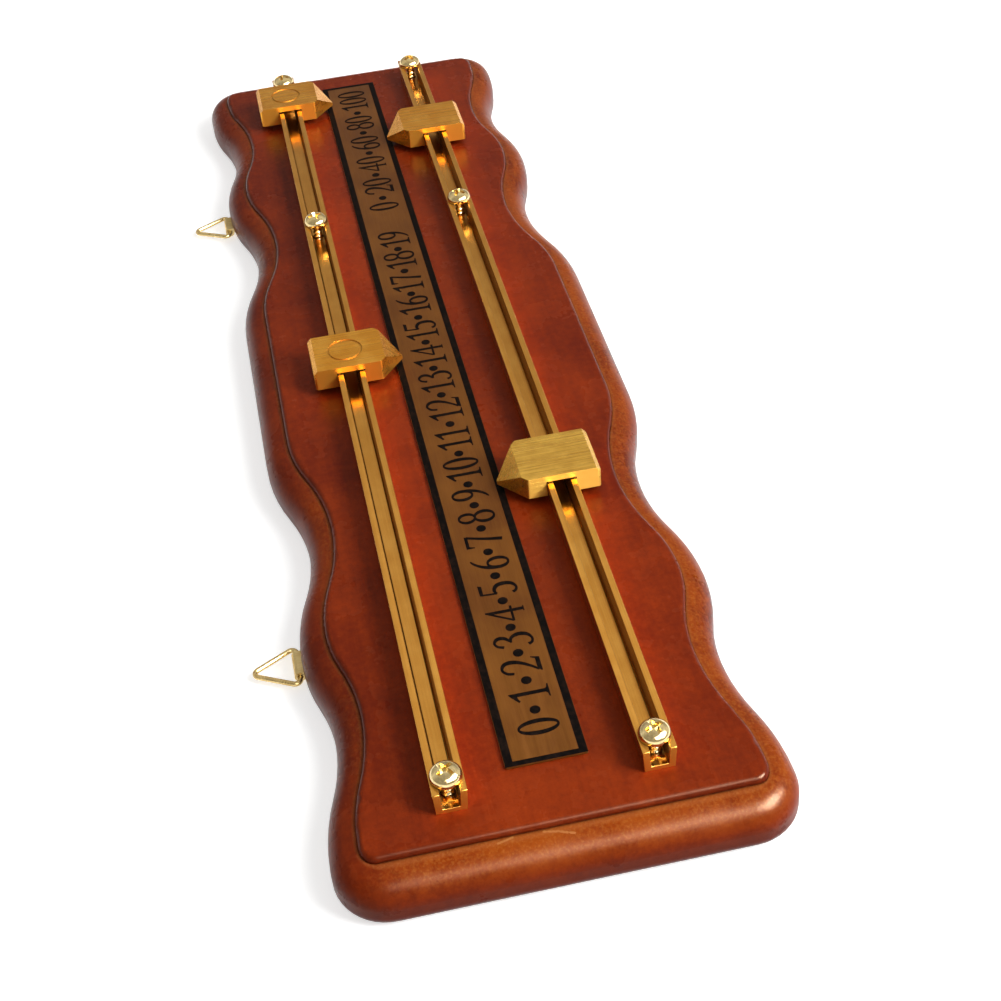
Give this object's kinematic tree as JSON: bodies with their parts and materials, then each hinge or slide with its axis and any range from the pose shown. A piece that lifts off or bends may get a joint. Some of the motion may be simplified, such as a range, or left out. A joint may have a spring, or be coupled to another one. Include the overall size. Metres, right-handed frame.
{
  "type": "billiard scoreboard",
  "caption": "Wall-hung scoreboard: a scalloped lacquered board with brass rails beside a numbered plate, sliding pointers and wire hanging rings.",
  "frame": {"origin": "middle of the board's flat back face", "axes": "+X along the scale in reading direction, +Y up when the board hangs, towards its rings, +Z out of the face, away from the wall"},
  "size_m": [0.388, 0.1207, 0.0247],
  "materials": {
    "lacquered_wood": "red-brown stain under clear gloss lacquer",
    "printed_plate": "bronze-brown brushed metal with black print",
    "rail_brass": "drawn brass, satin along its length",
    "pointer_brass": "satin brass, brushed across the rail",
    "polished_brass": "polished",
    "plated_wire": "bright plated wire",
    "plated_strap": "bright plated sheet",
    "zinc_steel": "zinc plated",
    "adhesive": "tacky film"
  },
  "bodies": {
    "board": {"board": "lacquered_wood", "plate_adhesive": "adhesive", "number_plate": "printed_plate", "upper_rail": "rail_brass", "lower_rail": "rail_brass", "upper_left_stop_screw": "polished_brass", "upper_middle_stop_screw": "polished_brass", "upper_right_stop_screw": "polished_brass", "lower_left_stop_screw": "polished_brass", "lower_middle_stop_screw": "polished_brass", "lower_right_stop_screw": "polished_brass", "left_hanger_strap": "plated_strap", "right_hanger_strap": "plated_strap", "left_hanger_screw": "zinc_steel", "right_hanger_screw": "zinc_steel"},
    "upper_units_pointer": {"upper_units_pointer": "pointer_brass"},
    "upper_tens_pointer": {"upper_tens_pointer": "pointer_brass"},
    "lower_units_pointer": {"lower_units_pointer": "pointer_brass"},
    "lower_tens_pointer": {"lower_tens_pointer": "pointer_brass"},
    "left_hanger_ring": {"left_hanger_ring": "plated_wire"},
    "right_hanger_ring": {"right_hanger_ring": "plated_wire"}
  },
  "joints": [
    {"name": "upper_units_slide", "type": "slide", "parent": "board", "child": "upper_units_pointer", "axis": [1, 0, 0], "range_m": [-0.15335, 0.06455]},
    {"name": "upper_tens_slide", "type": "slide", "parent": "board", "child": "upper_tens_pointer", "axis": [1, 0, 0], "range_m": [-0.07605, 0.00105]},
    {"name": "lower_units_slide", "type": "slide", "parent": "board", "child": "lower_units_pointer", "axis": [1, 0, 0], "range_m": [-0.08855, 0.12935]},
    {"name": "lower_tens_slide", "type": "slide", "parent": "board", "child": "lower_tens_pointer", "axis": [1, 0, 0], "range_m": [-0.04345, 0.03365]},
    {"name": "left_ring_hinge", "type": "hinge", "parent": "board", "child": "left_hanger_ring", "pos_m": [-0.1102, 0.0543, 0.0018], "axis": [1, 0, 0], "range_deg": [-168, 80]},
    {"name": "right_ring_hinge", "type": "hinge", "parent": "board", "child": "right_hanger_ring", "pos_m": [0.1102, 0.0543, 0.0018], "axis": [1, 0, 0], "range_deg": [-168, 80]}
  ]
}
